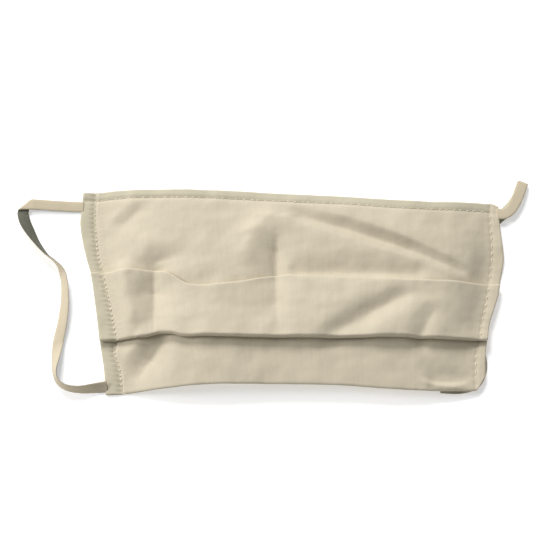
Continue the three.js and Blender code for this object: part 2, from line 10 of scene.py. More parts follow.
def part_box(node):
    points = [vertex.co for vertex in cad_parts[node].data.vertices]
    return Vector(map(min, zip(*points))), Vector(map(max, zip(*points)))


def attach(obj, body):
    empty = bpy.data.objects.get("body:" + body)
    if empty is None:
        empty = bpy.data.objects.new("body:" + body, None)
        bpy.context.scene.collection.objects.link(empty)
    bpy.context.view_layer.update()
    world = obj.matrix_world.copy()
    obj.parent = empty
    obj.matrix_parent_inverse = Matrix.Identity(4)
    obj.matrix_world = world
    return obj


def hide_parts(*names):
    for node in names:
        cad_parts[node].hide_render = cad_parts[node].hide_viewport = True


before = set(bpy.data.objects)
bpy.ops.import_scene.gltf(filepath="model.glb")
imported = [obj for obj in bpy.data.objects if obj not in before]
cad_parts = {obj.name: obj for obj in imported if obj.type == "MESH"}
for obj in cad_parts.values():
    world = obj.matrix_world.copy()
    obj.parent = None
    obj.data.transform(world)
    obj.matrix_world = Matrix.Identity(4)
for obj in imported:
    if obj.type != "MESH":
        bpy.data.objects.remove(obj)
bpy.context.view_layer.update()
bpy.ops.object.select_all(action="DESELECT")

# Sizes in metres.
MM = 0.001
MASK_WIDTH = 184 * MM
MASK_HEIGHT = 93 * MM
CLOTH_WALL = 0.8 * MM
HEM_WALL = 1.0 * MM
HEM_WIDTH = 5.0 * MM
TOP_HEM_WIDTH = 3.9 * MM
SEAM_GAP = 0.3 * MM
LAYER_PITCH = 1.2 * MM
PLEAT_DEPTH = 10 * MM
DOME_RISE = 8.5 * MM
DOME_SHOULDER = 12 * MM
CREASE_RISE = 2.4 * MM
LIP_RISE = 2.0 * MM
LIP_POWER = 1.3
CORNER_RISE = 1.6 * MM
CORNER_SPREAD = 14 * MM
TOP_CORNER_FADE = 18.2 * MM
LOW_CORNER_SPREAD = 11.2 * MM
STRAP_WIDTH = 5.0 * MM
STRAP_THICK = 0.8 * MM
STRAP_ROLL = 0.55 * MM
FOLD_MARGIN = 0.2 * MM
# Sections along a whole strap, along a folded one before and after its fold, and over the fold.
STRAP_STEPS = 300
NEAR_STEPS = 50
FAR_STEPS = 225
FOLD_STEPS = 44
TABLE_GAP = 0.12 * MM
# Hidden edge of the panel under its margins, and the width over which a seam pulls the cloth thin.
TUCK = 0.12 * MM
SEAM_REACH = 1.5 * MM
SEAM_PINCH = 0.9
# Shares of a margin's width: its rounded outer fold, and the part that its seam pulls thin.
HEM_FOLD_SHARE = 0.16
HEM_PINCH_SHARE = 0.45
# Soft unevenness of the cloth: its height, the lengths of its broad and its fine waves, the share of the
# fine ones, how far from the side seams it starts, and how long the puckers of the upper seam are.
UNEVEN = 0.20 * MM
BROAD_WAVE = 13 * MM
FINE_WAVE = 5 * MM
FINE_SHARE = 0.3
UNEVEN_FADE = 5 * MM
DRIFT_WAVE = 9 * MM
# Stitch rows: pitch along the seam, depth of the groove, and the cloth's puckers beside it.
LEFT_PITCH = 2.2 * MM
RIGHT_PITCH = 3.4 * MM
TOP_PITCH = 3.2 * MM
LEFT_GROOVE = 0.65 * MM
RIGHT_GROOVE = 0.17 * MM
TOP_GROOVE = 0.26 * MM
SCALLOP = 0.40 * MM
PUCKER = 0.13 * MM
PUCKER_REACH = 1.6 * MM
TOP_PUCKER_REACH = 2.4 * MM
THREAD_LIFT = 0.02 * MM

HALF_WIDTH = MASK_WIDTH / 2
HALF_HEIGHT = MASK_HEIGHT / 2
FOLD_RADIUS = LAYER_PITCH / 2
BASE_LEVEL = 0.60 * MM
CREASE_FADE = 2 * HEM_WIDTH
HEM_SHARE = HEM_WIDTH / MASK_WIDTH
INSET_SHARE = (HEM_WIDTH + SEAM_GAP) / MASK_WIDTH


def columns(names, rows):
    """Table as a dictionary of named columns."""
    return dict(zip(names.split(), zip(*rows)))


# Outer edges down the mask: y in half heights, edges in half widths, margins in HEM_WIDTH.
EDGES = columns("y left right left_hem right_hem", (
    (1.02, -1.006, 0.990, 1.15, 0.80),
    (0.84, -1.012, 0.992, 1.20, 0.75),
    (0.70, -1.015, 0.993, 1.32, 0.78),
    (0.50, -0.998, 1.000, 1.22, 0.86),
    (0.34, -0.977, 1.006, 1.06, 1.00),
    (0.20, -0.955, 0.995, 1.04, 0.95),
    (0.07, -0.940, 0.979, 1.10, 0.90),
    (-0.05, -0.930, 0.968, 1.18, 0.93),
    (-0.20, -0.917, 0.942, 1.28, 0.75),
    (-0.33, -0.907, 0.920, 1.33, 0.64),
    (-0.48, -0.896, 0.906, 1.40, 0.64),
    (-0.60, -0.886, 0.896, 1.10, 0.74),
    (-0.76, -0.871, 0.891, 1.32, 0.82),
    (-0.88, -0.865, 0.888, 1.38, 0.80),
    (-1.02, -0.857, 0.885, 1.40, 0.80),
))
# Upper edge, fold edges of the raised middle and lower edge: x in half widths, the rest in half heights.
LINES = columns("x top up_fold low_fold bottom", (
    (-1.00, 1.008, 0.180, -0.500, -1.000),
    (-0.88, 1.012, 0.178, -0.490, -0.985),
    (-0.79, 1.013, 0.174, -0.486, -0.972),
    (-0.71, 1.012, 0.168, -0.456, -0.962),
    (-0.65, 1.011, 0.160, -0.466, -0.955),
    (-0.60, 1.010, 0.100, -0.496, -0.948),
    (-0.55, 1.009, 0.028, -0.504, -0.943),
    (-0.48, 1.006, 0.000, -0.505, -0.937),
    (-0.27, 0.985, 0.040, -0.512, -0.932),
    (-0.09, 0.958, 0.105, -0.515, -0.932),
    (0.22, 0.920, 0.080, -0.515, -0.942),
    (0.50, 0.888, 0.062, -0.508, -0.974),
    (0.67, 0.878, 0.050, -0.514, -0.984),
    (0.84, 0.880, 0.054, -0.510, -0.980),
    (0.95, 0.882, 0.060, -0.502, -0.966),
    (1.00, 0.848, 0.062, -0.500, -0.826),
))
# Height of the domed middle down the mask, as a share of DOME_RISE.
DOME = columns("y high", (
    (1.05, 0.52),
    (0.70, 0.74),
    (0.30, 0.94),
    (-0.10, 1.00),
    (-0.50, 0.88),
    (-1.05, 0.60),
))
# How far the lower fold edge of the raised middle stands off, across the mask, as a share of LIP_RISE.
LIP = columns("x off", (
    (-1.00, 0.00),
    (-0.84, 0.00),
    (-0.64, 0.65),
    (-0.52, 0.65),
    (-0.30, 0.85),
    (0.00, 1.00),
    (0.45, 0.95),
    (0.75, 0.55),
    (0.92, 0.05),
    (1.00, 0.00),
))
# Creases, each a power and a line of points. A low power is sharp. A point has x in half widths, y in
# half heights, rise in CREASE_RISE, and its spread right and left of the line's way in half heights.
CreasePoint = namedtuple("CreasePoint", "x y rise right left")
CREASES = (
    # pressed line down the middle: the cloth falls to it from the left and stands up at its right
    (1.0, (
        (-0.073, 0.55, -0.05, 0.10, 0.08),
        (-0.073, 0.34, -1.45, 0.11, 0.08),
        (-0.073, 0.10, -1.55, 0.15, 0.09),
        (-0.073, -0.18, -1.40, 0.34, 0.10),
        (-0.068, -0.38, -0.70, 0.30, 0.12),
        (-0.060, -0.54, -0.15, 0.20, 0.12),
    )),
    (1.8, (
        (-0.300, 0.04, 0.25, 0.20, 0.16),
        (-0.300, -0.42, 0.25, 0.20, 0.16),
    )),
    # arch round the top of the tented middle, and the long ridge from it to the pleat's right end
    (1.6, (
        (-0.220, 0.18, 0.25, 0.14, 0.11),
        (-0.215, 0.36, 0.75, 0.18, 0.10),
        (-0.185, 0.56, 1.00, 0.24, 0.10),
        (-0.115, 0.69, 1.00, 0.24, 0.09),
        (-0.030, 0.685, 0.75, 0.26, 0.08),
        (0.243, 0.475, 0.50, 0.24, 0.07),
        (0.453, 0.33, 0.45, 0.20, 0.07),
        (0.77, 0.10, 0.30, 0.14, 0.06),
    )),
    # roll above the ridge, steep on its lower side, and the valley between the two
    (1.6, (
        (0.02, 0.81, 0.30, 0.10, 0.20),
        (0.26, 0.70, 0.85, 0.08, 0.22),
        (0.50, 0.525, 0.95, 0.06, 0.22),
        (0.80, 0.255, 0.35, 0.05, 0.16),
    )),
    (1.6, (
        (0.05, 0.69, -0.35, 0.06, 0.09),
        (0.25, 0.59, -0.60, 0.06, 0.08),
        (0.53, 0.385, -0.70, 0.05, 0.08),
        (0.79, 0.17, -0.30, 0.04, 0.07),
    )),
    # dip just above the upper fold edge
    (1.7, (
        (0.02, 0.145, -0.80, 0.07, 0.12),
        (0.58, 0.125, -0.65, 0.07, 0.12),
    )),
    # bend round the left end of the pleat, the roll outside it and the puff inside it
    (1.5, (
        (-0.700, 0.15, -0.50, 0.06, 0.09),
        (-0.632, 0.255, -0.85, 0.06, 0.09),
        (-0.52, 0.30, -0.30, 0.07, 0.09),
    )),
    (1.8, (
        (-0.780, 0.21, 0.30, 0.10, 0.14),
        (-0.680, 0.39, 0.50, 0.10, 0.14),
        (-0.550, 0.46, 0.25, 0.10, 0.14),
    )),
    (1.8, (
        (-0.52, 0.15, 0.55, 0.18, 0.13),
        (-0.47, 0.17, 0.50, 0.18, 0.13),
    )),
    # pressed line at the left of the raised middle, and the soft rolls beside it
    (1.1, (
        (-0.648, 0.14, -1.50, 0.14, 0.20),
        (-0.646, -0.06, -2.20, 0.16, 0.26),
        (-0.641, -0.30, -1.60, 0.15, 0.22),
        (-0.641, -0.52, -0.45, 0.12, 0.12),
    )),
    (1.8, (
        (-0.540, 0.02, 0.30, 0.14, 0.36),
        (-0.540, -0.44, 0.40, 0.14, 0.36),
    )),
    (1.8, (
        (-0.795, 0.12, 1.50, 0.12, 0.15),
        (-0.775, -0.30, 1.30, 0.12, 0.15),
        (-0.770, -0.48, 0.60, 0.12, 0.15),
    )),
    # slanting roll, valley and bulge at the right of the raised middle
    (1.8, (
        (0.52, 0.02, 0.20, 0.20, 0.10),
        (0.36, -0.13, 0.50, 0.20, 0.10),
        (0.14, -0.38, 0.35, 0.20, 0.10),
    )),
    (1.6, (
        (0.58, -0.07, -0.40, 0.12, 0.11),
        (0.43, -0.20, -0.90, 0.13, 0.12),
        (0.29, -0.36, -1.00, 0.13, 0.12),
        (0.16, -0.50, -0.50, 0.13, 0.12),
    )),
    (2.0, (
        (0.44, -0.38, 0.40, 0.15, 0.14),
        (0.54, -0.27, 0.45, 0.15, 0.14),
    )),
    (1.6, (
        (0.645, -0.27, -0.35, 0.10, 0.06),
        (0.590, -0.49, -0.50, 0.10, 0.06),
    )),
    # slanting pressed line at the left of the lower panel, and the rolls on both sides of it
    (1.3, (
        (-0.600, -0.52, -1.20, 0.15, 0.12),
        (-0.655, -0.68, -1.60, 0.16, 0.12),
        (-0.735, -0.86, -0.70, 0.14, 0.12),
    )),
    (1.8, (
        (-0.34, -0.60, 0.70, 0.36, 0.44),
        (-0.36, -0.92, 0.70, 0.36, 0.44),
    )),
    (1.8, (
        (-0.72, -0.50, 0.60, 0.10, 0.09),
        (-0.81, -0.74, 0.50, 0.10, 0.09),
    )),
    # small slanting dents by the upper left corner
    (1.7, (
        (-0.73, 0.78, -0.40, 0.06, 0.12),
        (-0.80, 0.66, -0.35, 0.06, 0.12),
    )),
    (1.7, (
        (-0.77, 0.86, 0.20, 0.08, 0.07),
        (-0.85, 0.74, 0.25, 0.08, 0.07),
    )),
    # curled lower right corner
    (2.0, (
        (0.66, -0.86, -0.45, 0.09, 0.09),
        (0.78, -0.86, -0.45, 0.09, 0.09),
    )),
    (2.0, (
        (0.585, -0.885, 0.05, 0.03, 0.03),
        (0.617, -0.915, 0.30, 0.03, 0.03),
        (0.665, -0.940, 0.38, 0.03, 0.03),
        (0.740, -0.945, 0.38, 0.03, 0.03),
        (0.810, -0.920, 0.20, 0.03, 0.03),
    )),
    (2.0, (
        (0.640, -0.885, -0.35, 0.04, 0.04),
        (0.700, -0.895, -0.40, 0.04, 0.04),
        (0.780, -0.880, -0.30, 0.04, 0.04),
    )),
)
CREASE_BLEND = 5

# Ear loops, a row for each station: distance outside the hem's edge, y on the mask, roll in degrees and
# lift above the table. A turn or a fold has its bend line's angle and the heading there besides.
TURN = "turn over"
FOLD = "fold flat"
LOOP_TUCK = 1.0 * MM
LEFT_LOOP = (
    (-LOOP_TUCK, 0.0400, 0, 0.00025),
    (0.0040, 0.0401, 0, 0.0004),
    (0.0110, 0.0404, 0, 0.0007),
    (0.0180, 0.0408, 0, 0.0010),
    (0.0243, 0.0409, FOLD, 0.00025, 43, 180),
    (0.0243, 0.0330, 166, 0.00010),
    (0.0227, 0.0290, 150, 0.00005),
    (0.0201, 0.0225, 122, 0),
    (0.0170, 0.0168, 106, 0),
    (0.0138, 0.0128, 90, 0),
    (0.0122, 0.0080, 56, 0),
    (0.0126, -0.0023, 42, 0),
    (0.0148, -0.0129, 28, 0),
    (0.0179, -0.0233, 14, 0),
    (0.0198, -0.0310, 44, 0),
    (0.0209, -0.0366, 66, 0),
    (0.0199, -0.0408, 76, 0),
    (0.0166, -0.0436, 76, 0),
    (0.0108, -0.0446, 68, 0),
    (0.0050, -0.0440, 50, 0),
    (-LOOP_TUCK, -0.0430, 25, 0),
)
RIGHT_LOOP = (
    (-LOOP_TUCK, 0.0361, 0, 0.0019),
    (0.0025, 0.0362, 0, 0.0019),
    (0.0051, 0.0380, 0, 0.0019),
    (0.0073, 0.0412, 0, 0.0019),
    (0.0093, 0.0452, 0, 0.0019),
    (0.0116, 0.0512, TURN, 0.0001, 90, 68),
    (0.0093, 0.0452, 180, 0),
    (0.0054, 0.0396, 180, 0),
    (-0.0005, 0.0344, 180, 0),
    (-0.0090, 0.0270, 180, 0),
    (-0.0170, 0.0160, 180, 0),
    (-0.0205, 0.0030, 180, 0),
    (-0.0160, -0.0110, 180, 0),
    (-0.0060, -0.0220, 180, 0),
    (-0.0022, -0.0290, 180, 0),
    (-0.0019, -0.0360, 180, 0),
    (-0.0046, -0.0414, 180, 0),
    (-0.0105, -0.0434, 180, 0),
    (-0.0190, -0.0432, 180, 0),
)


def mix(a, b, t):
    """Value that share of the way from a to b."""
    return a + (b - a) * t


def ease(t):
    """Soft step from 0 to 1."""
    c = np.clip(t, 0, 1)
    return c * c * (3 - 2 * c)


def table_at(table, key, column, place):
    """Smooth value of a table's column at places along its key column."""
    keys = np.array(table[key], float)
    values = np.array(table[column], float)
    if keys[0] > keys[1]:
        keys, values = keys[::-1], values[::-1]
    at = np.clip(np.asarray(place, float), keys[0], keys[-1])
    i = np.clip(np.searchsorted(keys, at, side="left") - 1, 0, len(keys) - 2)
    slopes = np.diff(values) / np.diff(keys)
    here = slopes[i]

    def gentle(slope):
        limited = np.sign(here) * np.minimum(np.abs(slope), 3 * np.abs(here))
        return np.where(slope * here <= 0, 0, limited)

    last = len(slopes) - 1
    before = slopes[np.maximum(i - 1, 0)]
    after = slopes[np.minimum(i + 1, last)]
    start = np.where(i > 0, gentle((before + here) / 2), here)
    end = np.where(i < last, gentle((here + after) / 2), here)
    span = keys[i + 1] - keys[i]
    t = (at - keys[i]) / span
    return ((2 * t**3 - 3 * t**2 + 1) * values[i] + (t**3 - 2 * t**2 + t) * span * start
            + (3 * t**2 - 2 * t**3) * values[i + 1] + (t**3 - t**2) * span * end)


def left_edge(y):
    return HALF_WIDTH * table_at(EDGES, "y", "left", y / HALF_HEIGHT)


def right_edge(y):
    return HALF_WIDTH * table_at(EDGES, "y", "right", y / HALF_HEIGHT)


def left_hem_at(y):
    return HEM_WIDTH * table_at(EDGES, "y", "left_hem", y / HALF_HEIGHT)


def right_hem_at(y):
    return HEM_WIDTH * table_at(EDGES, "y", "right_hem", y / HALF_HEIGHT)


def cross_line(column, across):
    """Height on the mask of a line that runs across it, at shares of its width."""
    return HALF_HEIGHT * table_at(LINES, "x", column, 2 * across - 1)


def crease_share(power, line, x, y):
    """Height of one crease as a share of CREASE_RISE: the strongest of its runs."""
    strongest = np.zeros_like(x)
    for start, end in zip(line, line[1:]):
        start, end = CreasePoint(*start), CreasePoint(*end)
        ax, ay = start.x * HALF_WIDTH, start.y * HALF_HEIGHT
        dx, dy = end.x * HALF_WIDTH - ax, end.y * HALF_HEIGHT - ay
        along = np.clip(((x - ax) * dx + (y - ay) * dy) / (dx * dx + dy * dy), 0, 1)
        off_x = x - ax - along * dx
        off_y = y - ay - along * dy
        rise = mix(start.rise, end.rise, along)
        right = mix(start.right, end.right, along)
        left = mix(start.left, end.left, along)
        away = np.hypot(off_x, off_y)
        side = (dx * off_y - dy * off_x) / (np.maximum(away, 1e-9) * math.hypot(dx, dy))
        spread = HALF_HEIGHT * mix(right, left, (1 + side) / 2)
        height = rise * np.exp(-(away / spread) ** power)
        strongest = np.where(np.abs(height) > np.abs(strongest), height, strongest)
    return strongest


def corner_height(x, y):
    """Lift of the two right corners, which curl off the table."""
    top_y = float(cross_line("top", 1))
    low_y = float(cross_line("bottom", 1))
    from_top = np.hypot(x - right_edge(top_y), y - top_y)
    from_low = np.hypot(x - right_edge(low_y), y - low_y)
    top = 1 - ease((from_top - CORNER_SPREAD) / TOP_CORNER_FADE)
    low = 1 - ease((from_low - LOW_CORNER_SPREAD) / CORNER_SPREAD)
    return CORNER_RISE * np.maximum(top, low)


def relief_height(x, y):
    """Height of the stack of cloth above lying flat."""
    left_in = x - left_edge(y) - left_hem_at(y)
    right_in = right_edge(y) - x - right_hem_at(y)
    inward = np.maximum(0, np.minimum(left_in, right_in))
    climb = inward / DOME_SHOULDER
    shoulder = climb * climb / (1 + climb * climb)
    ridges = np.zeros_like(x)
    valleys = np.zeros_like(x)
    for power, line in CREASES:
        share = crease_share(power, line, x, y)
        ridges += np.maximum(share, 0) ** CREASE_BLEND
        valleys += np.maximum(-share, 0) ** CREASE_BLEND
    creases = CREASE_RISE * (ridges ** (1 / CREASE_BLEND) - valleys ** (1 / CREASE_BLEND))
    dome = DOME_RISE * table_at(DOME, "y", "high", y / HALF_HEIGHT) * shoulder
    fade = ease(inward / CREASE_FADE)
    return np.maximum(0, dome + creases * fade) + corner_height(x, y) * (1 - shoulder)


def lip_height(x, y, across):
    """How far the raised middle stands off the layers below, most at its lower fold edge."""
    up = cross_line("up_fold", across)
    low = cross_line("low_fold", across)
    share = np.clip((up - y) / (up - low), 0, 1) ** LIP_POWER
    return LIP_RISE * table_at(LIP, "x", "off", x / HALF_WIDTH) * share


# The cloth's raw plan is centred as the frame is.
raw_y = np.linspace(-HALF_HEIGHT, HALF_HEIGHT, 400)
left_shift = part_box("left_side_hem")[0][0] - left_edge(raw_y).min()
right_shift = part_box("right_side_hem")[1][0] - right_edge(raw_y).max()
SHIFT = np.array([
    (left_shift + right_shift) / 2,
    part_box("top_hem")[1][1] - cross_line("top", np.linspace(0, 1, 400)).max(),
    0.0,
])

# Camera at the photograph's angle: 69 degrees above the table, from the lower edge's side.
CAMERA_ELEVATION = 69
CAMERA_LENS = 100
CAMERA_PLACE = (-0.0070, -0.2314, 0.6226)
camera_data = bpy.data.cameras.new("camera")
camera_data.lens = CAMERA_LENS
camera_data.sensor_width = 36
camera = bpy.data.objects.new("camera", camera_data)
camera.location = CAMERA_PLACE
camera.rotation_euler = (math.radians(90 - CAMERA_ELEVATION), 0, 0)
bpy.context.collection.objects.link(camera)
bpy.context.scene.camera = camera


def make_mesh(name, points, faces, uvs):
    """Object from points, faces and each point's place on the cloth or the elastic."""
    mesh = bpy.data.meshes.new(name)
    mesh.from_pydata([tuple(p) for p in points], [], faces)
    mesh.update()
    layer = mesh.uv_layers.new(name="cloth")
    corner = np.empty(len(mesh.loops), dtype=np.int32)
    mesh.loops.foreach_get("vertex_index", corner)
    layer.data.foreach_set("uv", np.asarray(uvs, dtype=np.float32)[corner].ravel())
    mesh.polygons.foreach_set("use_smooth", [True] * len(mesh.polygons))
    obj = bpy.data.objects.new(name, mesh)
    bpy.context.collection.objects.link(obj)
    return obj


# Ear loops: flat elastic that lies loose and is sewn to the hems.
def rest_height(upright):
    """Height of the strap's middle when it stands that much on edge on the table."""
    flat = math.sqrt(max(0, 1 - upright * upright))
    return flat * STRAP_THICK / 2 + abs(upright) * STRAP_WIDTH / 2 + TABLE_GAP


def turn_over_rows(row, x):
    """Half turn of the strap about a line at an angle to its heading."""
    _, y, _, lift, bend, heading = row
    bend = math.radians(bend)
    line_angle = math.radians(heading) + bend
    line = np.array([math.cos(line_angle), math.sin(line_angle), 0])
    over = np.array([math.sin(line_angle), -math.cos(line_angle), 0])
    up = np.array([0, 0, 1.0])
    rows = []
    for turn in np.linspace(0, math.pi, 5):
        forward = STRAP_ROLL * turn / math.tan(bend)
        point = np.array([x, y, 0]) + line * forward + over * STRAP_ROLL * math.sin(turn)
        rounded = over * math.cos(turn) - up * math.sin(turn)
        width = line * math.sin(bend) - rounded * math.cos(bend)
        rolled = rest_height(0) + STRAP_ROLL * (1 + math.cos(turn))
        point[2] = lift + max(rolled, rest_height(width[2]))
        rows.append((point, width))
    return rows


def strap_stations(rows, edge_at, outward):
    """Middle of the strap and direction of its width at each row."""
    places = [float(edge_at(row[1])) + outward * row[0] for row in rows]
    stations = []
    for i, row in enumerate(rows):
        if row[2] == TURN:
            stations += turn_over_rows(row, places[i])
            continue
        a, b = max(0, i - 1), min(len(rows) - 1, i + 1)
        heading = math.atan2(rows[b][1] - rows[a][1], places[b] - places[a])
        roll = math.radians(row[2])
        level = math.cos(roll)
        width = np.array([-math.sin(heading) * level, math.cos(heading) * level, math.sin(roll)])
        stations.append((np.array([places[i], row[1], rest_height(width[2]) + row[3]]), width))
    return stations


def strap_curve(stations, steps):
    """Even points, tangents and width directions along a smooth curve through the stations."""
    points = [s[0] for s in stations]
    widths = [s[1] for s in stations]
    ends = [2 * points[0] - points[1]] + points + [2 * points[-1] - points[-2]]
    fine = 40
    total = len(points) - 1
    path = []
    width_path = []
    for i in range(total):
        p0, p1, p2, p3 = ends[i:i + 4]
        d0, d1, d2 = (np.linalg.norm(b - a) ** 0.5 for a, b in ((p0, p1), (p1, p2), (p2, p3)))
        m1 = ((p1 - p0) / d0 - (p2 - p0) / (d0 + d1) + (p2 - p1) / d1) * d1
        m2 = ((p2 - p1) / d1 - (p3 - p1) / (d1 + d2) + (p3 - p2) / d2) * d1
        for k in range(fine + (i == total - 1)):
            t = k / fine
            path.append((2 * t**3 - 3 * t**2 + 1) * p1 + (t**3 - 2 * t**2 + t) * m1
                        + (3 * t**2 - 2 * t**3) * p2 + (t**3 - t**2) * m2)
            width_path.append(mix(widths[i], widths[i + 1], t))
    path, width_path = np.array(path), np.array(width_path)
    run = np.concatenate([[0], np.cumsum(np.linalg.norm(np.diff(path, axis=0), axis=1))])
    even = np.linspace(0, run[-1], steps + 1)
    path = np.stack([np.interp(even, run, path[:, c]) for c in range(3)], 1)
    width_path = np.stack([np.interp(even, run, width_path[:, c]) for c in range(3)], 1)
    tangents = np.gradient(path, axis=0)
    tangents /= np.linalg.norm(tangents, axis=1)[:, None]
    width_path -= tangents * (width_path * tangents).sum(1)[:, None]
    width_path /= np.linalg.norm(width_path, axis=1)[:, None]
    return path + SHIFT, tangents, width_path


def strap_outline():
    """Section of the flat elastic: two faces with three soft ribs and rounded borders."""
    half, thick = STRAP_WIDTH / 2, STRAP_THICK / 2
    upper = []
    for s in np.sin(np.linspace(-math.pi / 2, math.pi / 2, 15)):
        face = 0.97 * thick * (1 - abs(s) ** 6) ** 0.5
        ribs = 0.02 * thick * math.cos(9 * math.pi * s)
        upper.append((half * s, face + ribs))
    return upper[::-1] + [(a, -b) for a, b in upper[1:-1]]


def straight_rings(stations, steps, outline):
    """Sections of the strap along a curve: each a ring of points."""
    path, tangents, widths = strap_curve(stations, steps)
    sides = np.cross(tangents, widths)
    return [[path[i] + widths[i] * a + sides[i] * b for a, b in outline] for i in range(steps + 1)]


def folded_rings(row, x, outline):
    """Sections over a sharp flat fold, and the stations where the fold begins and ends."""
    _, y, _, lift, bend, heading = row
    bend, heading = math.radians(bend), math.radians(heading)
    forward = np.array([math.cos(heading), math.sin(heading)])
    width = np.array([-forward[1], forward[0]])
    over = np.array([math.sin(heading + bend), -math.cos(heading + bend)])
    arc = math.pi * STRAP_ROLL
    top = lift + rest_height(0) + 2 * STRAP_ROLL
    half = STRAP_WIDTH / 2 + FOLD_MARGIN
    first = -half / math.tan(bend)
    last = half / math.tan(bend) + arc / math.sin(bend)

    def place(run, a, b):
        """Point at that run along the strap, that far across it and off its middle."""
        flat = forward * run + width * a
        away = flat @ over
        turn = np.clip(away / STRAP_ROLL, 0, math.pi)
        beyond = max(0, away - arc)
        radius = STRAP_ROLL + b
        flat = flat - over * max(0, away) + over * (radius * math.sin(turn) - beyond)
        return np.array([x + flat[0], y + flat[1], top - STRAP_ROLL + radius * math.cos(turn)])

    runs = np.linspace(first, last, FOLD_STEPS)
    rings = [[place(run, a, b) + SHIFT for a, b in outline] for run in runs]
    begin = (place(first, 0, 0), np.array([*width, 0]))
    turned = width - 2 * (width @ over) * over
    end = (place(last, 0, 0), np.array([*turned, 0]))
    return rings, begin, end


def make_strap(name, rows, edge_at, outward):
    """Strap through the rows, its middle line and its length."""
    outline = strap_outline()
    count = len(outline)
    folds = [i for i, row in enumerate(rows) if row[2] == FOLD]
    if folds:
        at = folds[0]
        x = float(edge_at(rows[at][1])) + outward * rows[at][0]
        fold, begin, end = folded_rings(rows[at], x, outline)
        near = strap_stations(rows[:at], edge_at, outward) + [begin]
        far = [end] + strap_stations(rows[at + 1:], edge_at, outward)
        rings = straight_rings(near, NEAR_STEPS, outline)[:-1] + fold
        rings += straight_rings(far, FAR_STEPS, outline)[1:]
    else:
        rings = straight_rings(strap_stations(rows, edge_at, outward), STRAP_STEPS, outline)
    path = np.array([np.mean(ring, axis=0) for ring in rings])
    run = np.concatenate([[0], np.cumsum(np.linalg.norm(np.diff(path, axis=0), axis=1))])
    points, uvs, faces = [], [], []
    for ring, along in zip(rings, run):
        points += ring
        uvs += [(a, along) for a, _ in outline]
    last = len(rings) - 1
    for i in range(last):
        for k in range(count):
            n = (k + 1) % count
            faces.append((i * count + k, i * count + n, (i + 1) * count + n, (i + 1) * count + k))
    faces.append(tuple(range(count))[::-1])
    faces.append(tuple(last * count + k for k in range(count)))
    obj = make_mesh(name, points, faces, uvs)
    # The elastic's two faces have their own materials: slot 0 outside, slot 1 inside, which takes a
    # darker material as painted shade.
    slots = [0 if k < count // 2 else 1 for k in range(count)] * last + [0, 0]
    obj.data.materials.append(None)
    obj.data.materials.append(None)
    obj.data.polygons.foreach_set("material_index", slots)
    return obj, path, run[-1]


left_loop, left_path, left_length = make_strap("left_elastic", LEFT_LOOP, left_edge, -1)
right_loop, right_path, right_length = make_strap("right_elastic", RIGHT_LOOP, right_edge, 1)
for loop, path, length, node in (
    (left_loop, left_path, left_length, "left_ear_loop"),
    (right_loop, right_path, right_length, "right_ear_loop"),
):
    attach(loop, "root")
    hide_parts(node)


# Cloth: steps of the folded section along each run of the cloth and round each fold.
RUNS = {"upper": 76, "hidden": 5, "middle": 48, "lower": 50, "fold": 7}


def folded_section(across, start_y, end_y):
    """Folded cloth at stations across: y, z, the normal's y and z, and the share of the lip's height."""
    up_y = cross_line("up_fold", across) - CLOTH_WALL / 2
    low_y = cross_line("low_fold", across) + CLOTH_WALL / 2
    under_up = up_y - PLEAT_DEPTH
    under_low = low_y + PLEAT_DEPTH
    level = [BASE_LEVEL, BASE_LEVEL + LAYER_PITCH, BASE_LEVEL + 2 * LAYER_PITCH]
    rows = []
    one = np.ones_like(across)

    def straight(from_y, to_y, z, face, off, steps, with_last=False):
        for i in range(steps + with_last):
            rows.append((mix(from_y, to_y, i / steps), z * one, 0 * one, face * one, off * one))

    def fold(centre, low_z, bulge, rising, face_out, takes_off):
        for i in range(RUNS["fold"]):
            turn = math.pi * i / RUNS["fold"]
            out_y, out_z = bulge * math.sin(turn), -rising * math.cos(turn)
            share = (1 - rising * math.cos(turn)) / 2
            z = low_z + FOLD_RADIUS + FOLD_RADIUS * out_z
            off = share if takes_off else 0
            rows.append((centre + FOLD_RADIUS * out_y, z * one,
                         face_out * out_y * one, face_out * out_z * one, off * one))

    r = FOLD_RADIUS
    straight(start_y, under_up + r, level[0], 1, 0, RUNS["upper"])
    fold(under_up + r, level[0], -1, 1, -1, False)
    straight(under_up + r, up_y - r, level[1], -1, 0, RUNS["hidden"])
    fold(up_y - r, level[1], 1, 1, 1, True)
    straight(up_y - r, low_y + r, level[2], 1, 1, RUNS["middle"])
    fold(low_y + r, level[1], -1, -1, 1, True)
    straight(low_y + r, under_low - r, level[1], -1, 0, RUNS["hidden"])
    fold(under_low - r, level[0], 1, -1, -1, False)
    straight(under_low - r, end_y, level[0], 1, 0, RUNS["lower"], True)
    return [np.array(column) for column in zip(*rows)]


def flat_section(across, start_y, end_y, steps):
    """Flat cloth at stations across, in the same columns as a folded section."""
    one = np.ones_like(across)
    rows = []
    for i in range(steps + 1):
        rows.append((mix(start_y, end_y, i / steps), BASE_LEVEL * one, 0 * one, one, 0 * one))
    return [np.array(column) for column in zip(*rows)]


